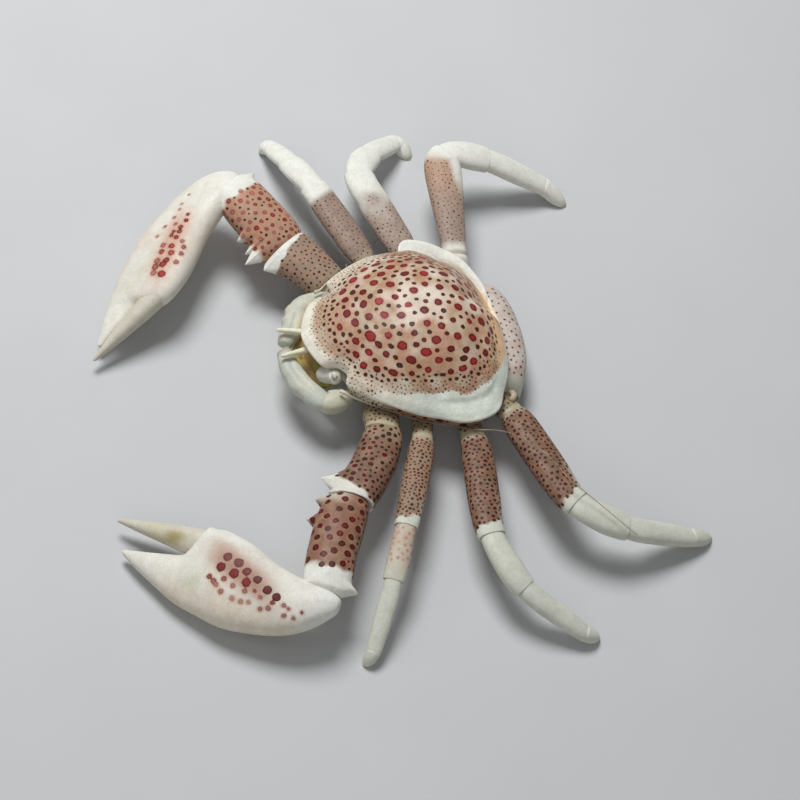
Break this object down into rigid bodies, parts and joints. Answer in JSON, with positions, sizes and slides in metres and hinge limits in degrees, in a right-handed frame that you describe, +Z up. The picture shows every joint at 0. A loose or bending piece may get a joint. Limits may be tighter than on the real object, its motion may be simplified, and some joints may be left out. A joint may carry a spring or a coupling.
{
  "type": "porcelain anemone crab model",
  "caption": "Still life-size model of a porcelain anemone crab with a domed spotted shell, wide flat claws and walking legs spread on the floor.",
  "frame": {"origin": "centre of the bounding box's base, on the floor that the legs and claws stand on", "axes": "+Z up, -Y the way the crab faces, +X its left side"},
  "size_m": [0.0706, 0.0626, 0.0114],
  "materials": {
    "shell_spotted": "smooth hard shell, tan-pink with round red spots",
    "shell_pale": "smooth hard shell, porcelain white, spotted on the claws",
    "shell_mauve": "smooth hard shell, mauve brown with fine dark dots",
    "shell_underside": "plain pale shell of the underside",
    "cornea": "glossy dark eye",
    "feeler": "thin ringed feeler",
    "mouth_brush": "dense olive brown mouth hairs"
  },
  "bodies": {
    "root": {"carapace": "shell_spotted", "thorax": "shell_underside", "pleon_1": "shell_pale", "pleon_2": "shell_underside", "pleon_3": "shell_underside", "tail_fan": "shell_underside", "mouth_brush": "mouth_brush", "eye_left": "cornea", "eye_right": "cornea", "antennule_left": "feeler", "antennule_right": "feeler", "antenna_left": "feeler", "antenna_right": "feeler", "maxilliped_base_left": "shell_pale", "maxilliped_base_right": "shell_pale", "maxilliped_palp_left": "shell_pale", "maxilliped_palp_right": "shell_pale", "leg_5_left": "shell_pale", "leg_5_right": "shell_pale", "cheliped_base_left": "shell_mauve", "cheliped_base_right": "shell_mauve", "cheliped_merus_left": "shell_mauve", "cheliped_merus_right": "shell_mauve", "cheliped_carpus_left": "shell_spotted", "cheliped_carpus_right": "shell_spotted", "palm_left": "shell_pale", "palm_right": "shell_pale", "finger_left": "shell_pale", "finger_right": "shell_pale", "leg_2_base_left": "shell_mauve", "leg_2_base_right": "shell_mauve", "leg_2_merus_left": "shell_mauve", "leg_2_merus_right": "shell_mauve", "leg_2_carpus_left": "shell_pale", "leg_2_carpus_right": "shell_pale", "leg_2_propodus_left": "shell_pale", "leg_2_propodus_right": "shell_pale", "leg_2_dactyl_left": "shell_pale", "leg_2_dactyl_right": "shell_pale", "leg_3_base_left": "shell_mauve", "leg_3_base_right": "shell_mauve", "leg_3_merus_left": "shell_mauve", "leg_3_merus_right": "shell_mauve", "leg_3_carpus_left": "shell_pale", "leg_3_carpus_right": "shell_pale", "leg_3_propodus_left": "shell_pale", "leg_3_propodus_right": "shell_pale", "leg_3_dactyl_left": "shell_pale", "leg_3_dactyl_right": "shell_pale", "leg_4_base_left": "shell_mauve", "leg_4_base_right": "shell_mauve", "leg_4_merus_left": "shell_mauve", "leg_4_merus_right": "shell_mauve", "leg_4_carpus_left": "shell_pale", "leg_4_carpus_right": "shell_pale", "leg_4_propodus_left": "shell_pale", "leg_4_propodus_right": "shell_pale", "leg_4_dactyl_left": "shell_pale", "leg_4_dactyl_right": "shell_pale"}
  },
  "joints": []
}
